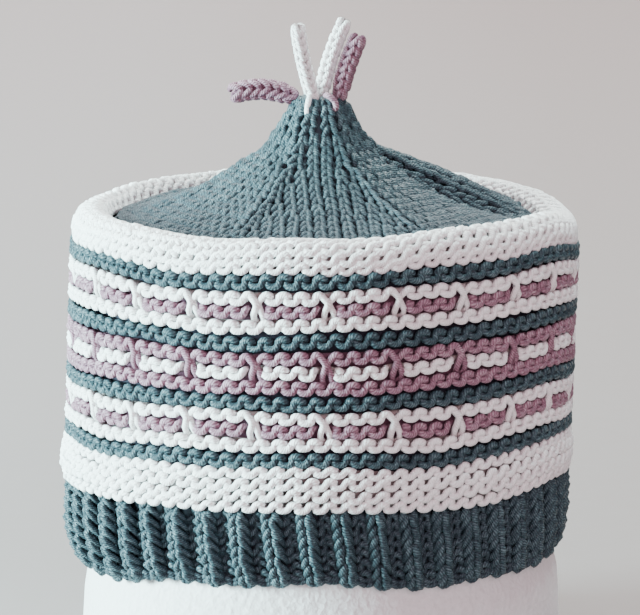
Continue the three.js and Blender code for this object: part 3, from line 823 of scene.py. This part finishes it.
# Its lining: a closed sleeve under the stitches, which thins towards the tip, painted half in shade.
GORE_STEPS = 8
LINING_RINGS = 26
LINING_FRONT = 2.1
LINING_THINS = 0.7
LINING_BACK = 3.0
around = GORES * GORE_STEPS
gores = np.repeat(np.arange(GORES), GORE_STEPS)
shares = np.tile(-1 + 2 * np.arange(GORE_STEPS) / GORE_STEPS, GORES)
fronts, backs = [], []
for at in np.linspace(0, CROWN_P[-1] - 1, LINING_RINGS):
    p, n = crown_face(np.full(around, at), gores, shares)
    fronts.append(p - n * (LINING_FRONT - LINING_THINS * smooth(at / TIP_RIM * 2 - 1)))
    backs.append(p - n * LINING_BACK)
section = np.stack(fronts + backs[::-1], 1)
faces = sleeve_faces(around, section.shape[1])
knit.add(section.reshape(-1, 3), faces[:, ::-1], np.zeros((len(faces), 4, 2)), 0.5)
knit.piece("crown_stitches", *MATERIALS["sage"], ["crown"])

# The cords at the tip: diameter, length, seat in tip radii, stand-off in diameters, heading, pitch and bow.
# Each is knitted round a core in three stitches.
CORDS = [
    ("mauve_cord_left", "mauve", 7.3, 19.2, (-1.02, 0.07), 0.04, -90, 3, 0.10),
    ("cream_cord_left", "cream", 5.5, 23.2, (-0.2, -0.5), 0, -80, 77, -0.03),
    ("cream_cord_right", "cream", 5.7, 24, (0.12, 0.5), 0, 100, 72, 0.04),
    ("mauve_cord_right", "mauve", 6.5, 19.5, (0.84, -0.14), 0, 80, 72, 0.03),
]
CORD_STITCHES = 3
CORD_YARN = 1.9
CORD_ROW = 2.7
CORD_LOOP = -1.6
CORD_DEPTH = 0.5
CORD_SUNK = 0.55
# A cord's foot is this slim, and its tip loses this much.
FOOT_SLIM = 0.72
TIP_LOSS = 0.12
CORE_RINGS = 10
CORE_SIDES = 8
CORE_GAP = 0.7
# Loose strands that sew two of the cords to the tip, as points from the tip's middle.
STRANDS = {
    "cream_cord_left": [(-2.6, -5.2, 2.5), (-3.3, -7.6, -0.3), (-3.6, -8.4, -3.0), (-3.2, -7.4, -5.0)],
    "mauve_cord_right": [
        (1.4, -6.0, 2.0), (3.0, -8.4, 2.2), (5.0, -8.6, 0.4), (5.2, -8.2, -1.8), (3.4, -7.0, -2.2)
    ],
}
STRAND_POINTS = 13
STRAND_RADIUS = 1.0
STRAND_FACING = [0.3, -1.0, 0.2]


def strand(knit, points):
    """A loose strand of yarn through these points, thin at its ends."""
    t = np.linspace(0, 1, STRAND_POINTS)
    line = [curved(t, np.linspace(0, 1, len(points)), column) for column in zip(*points)]
    line = np.stack(line, -1) + [CENTRE_X - TIP_LEAN, 0, TIP_HEIGHT]
    radius = STRAND_RADIUS * np.minimum(1, 0.25 + 6 * np.minimum(t, 1 - t))
    knit.add(*tube(line, np.tile(STRAND_FACING, (STRAND_POINTS, 1)), radius, closed=False))


def cord(name, yarn, diameter, length, seat, stand_off, heading, pitch, bow):
    """A bent cord that stands at the tip."""
    h, e = math.radians(heading), math.radians(pitch)
    out = np.array([math.sin(h), -math.cos(h), 0])
    way = out * math.cos(e) + np.array([0, 0, math.sin(e)])
    across = np.cross([0, 0, 1], out)
    up = np.cross(way, across)
    foot_slope = 0.3 * diameter * math.cos(e) if pitch > 45 else 0
    base = np.array(
        [
            seat[0] * TIP_RADIUS - TIP_LEAN + CENTRE_X,
            seat[1] * TIP_RADIUS,
            TIP_CLOSED + foot_slope + stand_off * diameter,
        ]
    )
    tip = base + way * length
    control = (base + tip) / 2 + up * 2 * bow * length

    def cord_place(along, angle, radius):
        t = np.clip(along / length, -0.1, 1.05)[:, None]
        p = (1 - t) ** 2 * base + 2 * t * (1 - t) * control + t * t * tip
        d = 2 * (1 - t) * (control - base) + 2 * t * (tip - control)
        d /= np.linalg.norm(d, axis=1, keepdims=True)
        ring = across * np.cos(angle)[:, None] + np.cross(d, across) * np.sin(angle)[:, None]
        return p + ring * radius[:, None], ring

    knit = Knit()
    rows = int(round(length / CORD_ROW))
    inner = diameter / 2 - CORD_YARN / 2
    for row in range(rows):
        at = length * (row + 0.5) / rows
        tip_share = 1 - TIP_LOSS * smooth((at - length + 3) / 3)
        taper = FOOT_SLIM + (1 - FOOT_SLIM) * smooth(at / 5) * tip_share
        place, rise, depth = (a.ravel() for a in course(CORD_STITCHES, "plait", CORD_LOOP, CORD_DEPTH))
        angle = place / CORD_STITCHES * TURN + 0.35
        points, normals = cord_place(at + rise, angle, (inner - CORD_SUNK + depth) * taper)
        # Stitches that lie deeper get painted shade.
        knit.add(*tube(points, normals, CORD_YARN / 2), depth_shade(depth / CORD_DEPTH))
    middle = np.zeros(CORE_RINGS)
    points, _ = cord_place(np.linspace(0.5, length - 0.6, CORE_RINGS), middle, middle)
    wide = np.concatenate([[0.4], np.full(CORE_RINGS - 2, inner - CORE_GAP), [0.5]])
    normals = np.tile(across, (CORE_RINGS, 1))
    # The core is painted fully in shade.
    knit.add(*tube(points, normals, wide, closed=False, sides=CORE_SIDES), 1.0)
    if name in STRANDS:
        strand(knit, STRANDS[name])
    knit.piece(f"{name}_stitches", *MATERIALS[yarn], [name])


for row in CORDS:
    cord(*row)


# The stand under its cloth.
def stand_material():
    """White towelling: fine pile over tufts."""
    mat = bpy.data.materials.new("white_towelling")
    mat.use_nodes = True
    nodes, links = mat.node_tree.nodes, mat.node_tree.links
    shader = nodes["Principled BSDF"]
    place = nodes.new("ShaderNodeTexCoord")
    pile = noise(nodes, links, place, 700, 6)
    tufts = nodes.new("ShaderNodeTexVoronoi")
    tufts.inputs["Scale"].default_value = 420
    links.new(place.outputs["Object"], tufts.inputs["Vector"])
    ramp = nodes.new("ShaderNodeValToRGB")
    ramp.color_ramp.elements[0].color = (0.66, 0.655, 0.65, 1)
    ramp.color_ramp.elements[1].color = (0.84, 0.835, 0.83, 1)
    links.new(pile, ramp.inputs[0])
    links.new(ramp.outputs[0], shader.inputs["Base Color"])
    shader.inputs["Roughness"].default_value = 0.95
    shader.inputs["Sheen Weight"].default_value = 0.3
    fine = bump(nodes, links, pile, 0.6, 0.6 * MM)
    relief = bump(nodes, links, tufts.outputs["Distance"], 0.35, 0.8 * MM, fine)
    links.new(relief, shader.inputs["Normal"])
    return mat


STAND_TOP = CROWN_EDGE - CROWN_WALL - GAP + min(WAVE_EDGE)
STAND_SECTION = [
    (0, 0.3), (60, 0.3), (73.5, 0.3), (75.2, 1.1), (76, 3), (75.8, 12), (75.4, 22), (74.6, 29), (73, 35),
    (73, 60), (73, 90), (73, 118), (73, 125), (71.8, 130.5), (69.5, 133.6), (66, STAND_TOP - 0.2),
    (40, STAND_TOP), (0, STAND_TOP),
]
STAND_STEPS = 128
# The cloth's own lumps, as waves, full size up to 40 mm and small under the cap.
CLOTH_LUMPS = [(0.25, 3, 0.05, 0), (0.18, 7, -0.08, 1), (0.1, 13, 0.2, 0)]
CLOTH_INSET = 0.25
LUMPS_END = 40
LUMPS_ABOVE = 0.4
bm = bmesh.new()
outline = [bm.verts.new((r, 0, z)) for r, z in STAND_SECTION]
sides = [bm.edges.new(pair) for pair in zip(outline, outline[1:])]
bmesh.ops.spin(
    bm,
    geom=outline + sides,
    cent=(0, 0, 0),
    axis=(0, 0, 1),
    dvec=(0, 0, 0),
    angle=TURN,
    steps=STAND_STEPS,
    use_merge=True,
)
bmesh.ops.remove_doubles(bm, verts=bm.verts, dist=0.01)
for vert in bm.verts:
    x, y, z = vert.co
    r, a = math.hypot(x, y), math.atan2(x, -y)
    lump = waves(CLOTH_LUMPS, a, z) * min(max(z / 3, 0), 1) * (1 if z < LUMPS_END else LUMPS_ABOVE)
    r += (lump - CLOTH_INSET) * min(max((r - 60) / 13, 0), 1)
    up = min(max((z - BAND_FOOT) / (FOLD_FOOT - BAND_FOOT), 0), 1)
    vert.co = (r * math.sin(a) - STAND_SHIFT * (1 - up) + CENTRE_X, -r * math.cos(a), z)
bmesh.ops.scale(bm, verts=bm.verts, vec=(MM, MM, MM))
bmesh.ops.recalc_face_normals(bm, faces=bm.faces)
mesh = smooth_mesh(bm, "stand_cloth")
finish_piece("stand_cloth", mesh, stand_material(), ["display_stand"])


# The stage: a floor that sweeps up into a wall.
def stage_material():
    """A pale, faintly mottled wall, with painted shade to the right."""
    mat = bpy.data.materials.new("pale_wall")
    mat.use_nodes = True
    nodes, links = mat.node_tree.nodes, mat.node_tree.links
    shader = nodes["Principled BSDF"]
    place = nodes.new("ShaderNodeTexCoord")
    mottle = math_node(nodes, links, "MULTIPLY", noise(nodes, links, place, 90, 5), 0.25)
    # The wall warms and darkens a little to the right: painted shade, away from the window on the left.
    split = nodes.new("ShaderNodeSeparateXYZ")
    links.new(place.outputs["Object"], split.inputs[0])
    across = math_node(nodes, links, "MULTIPLY", split.outputs[0], 4.0)
    tone = math_node(nodes, links, "ADD", across, mottle)
    ramp = nodes.new("ShaderNodeValToRGB")
    ramp.color_ramp.elements[0].color = (0.264, 0.231, 0.227, 1)
    ramp.color_ramp.elements[1].color = (0.226, 0.183, 0.175, 1)
    links.new(math_node(nodes, links, "ADD", tone, 0.35), ramp.inputs[0])
    links.new(ramp.outputs[0], shader.inputs["Base Color"])
    shader.inputs["Roughness"].default_value = 0.9
    return mat


# Its half width, the floor's front, the sweep's foot and radius, and the wall's height, in metres.
STAGE_HALF = 4.0
FLOOR_FRONT = -4.0
SWEEP_FOOT = 1.8
SWEEP_RADIUS = 0.8
WALL_HEIGHT = 3.5
sweep = [(FLOOR_FRONT, 0.0), (SWEEP_FOOT, 0.0)]
for a in np.linspace(0.1, math.pi / 2, 12):
    sweep.append((SWEEP_FOOT + SWEEP_RADIUS * math.sin(a), SWEEP_RADIUS - SWEEP_RADIUS * math.cos(a)))
sweep.append((SWEEP_FOOT + SWEEP_RADIUS, WALL_HEIGHT))
bm = bmesh.new()
outline = [bm.verts.new((-STAGE_HALF, y, z)) for y, z in sweep]
sides = [bm.edges.new(pair) for pair in zip(outline, outline[1:])]
drawn = bmesh.ops.extrude_edge_only(bm, edges=sides)["geom"]
drawn = [v for v in drawn if isinstance(v, bmesh.types.BMVert)]
bmesh.ops.translate(bm, verts=drawn, vec=(2 * STAGE_HALF, 0, 0))
mesh = smooth_mesh(bm, "backdrop")
mesh.materials.append(stage_material())
backdrop = bpy.data.objects.new("backdrop", mesh)
bpy.context.scene.collection.objects.link(backdrop)

# The camera: at the photo's height and distance, looking slightly down. The focal length, the picture's
# size and the place of the cap's rim in it are in the photo's pixels.
ELEVATION = math.radians(9)
DISTANCE = 1600.0
FOCAL = 5104.0
PICTURE_WIDTH, PICTURE_HEIGHT = 640, 615
RIM_ROW = 200.5
RIM_RIGHT_OF_MIDDLE = 5
SENSOR = 36
rim = np.array([CENTRE_X, 0, FOLD_TOP])
eye = rim + DISTANCE * np.array([0, -math.cos(ELEVATION), math.sin(ELEVATION)])
pitch = ELEVATION + math.atan((PICTURE_HEIGHT / 2 - RIM_ROW) / FOCAL)
yaw = math.atan(RIM_RIGHT_OF_MIDDLE / FOCAL)
aim = Vector((-math.sin(yaw) * math.cos(pitch), math.cos(yaw) * math.cos(pitch), -math.sin(pitch)))
data = bpy.data.cameras.new("camera")
data.lens = FOCAL / PICTURE_WIDTH * SENSOR
data.sensor_width = SENSOR
data.clip_start, data.clip_end = 0.05, 30
camera = bpy.data.objects.new("camera", data)
camera.location = eye * MM
camera.rotation_mode = "QUATERNION"
camera.rotation_quaternion = aim.to_track_quat("-Z", "Y")
bpy.context.scene.collection.objects.link(camera)
bpy.context.scene.camera = camera


def area(name, place, target, size, energy, color):
    """A rectangular lamp at a place, turned to its target. Both are in metres."""
    light = bpy.data.lights.new(name, "AREA")
    light.shape = "RECTANGLE"
    light.size, light.size_y = size
    light.energy = energy
    light.color = color
    obj = bpy.data.objects.new(name, light)
    obj.location = place
    obj.rotation_mode = "QUATERNION"
    obj.rotation_quaternion = (Vector(target) - Vector(place)).to_track_quat("-Z", "Y")
    bpy.context.scene.collection.objects.link(obj)


# The window at the left, the room in front, the ceiling, and a lamp on the wall behind.
area("window", (-1.8, -0.3, 0.3), (0, 0, 0.1), (0.8, 0.6), 275, (0.63, 0.97, 1.0))
area("room", (0.3, -1.95, 0.7), (0, 0, 0.1), (1.6, 1.2), 28, (1.0, 0.71, 0.79))
area("ceiling", (0.1, 0.2, 2.0), (0, 0, 0.1), (1.2, 1.2), 68, (0.70, 1.0, 0.98))
area("wall_wash", (-0.4, 2.2, 2.4), (0, 1.8, 0), (2.0, 1.6), 240, (1.0, 0.97, 0.96))
world = bpy.data.worlds.new("world")
world.use_nodes = True
background = world.node_tree.nodes["Background"]
background.inputs["Color"].default_value = (0.90, 0.67, 0.78, 1)
background.inputs["Strength"].default_value = 0.36
bpy.context.scene.world = world
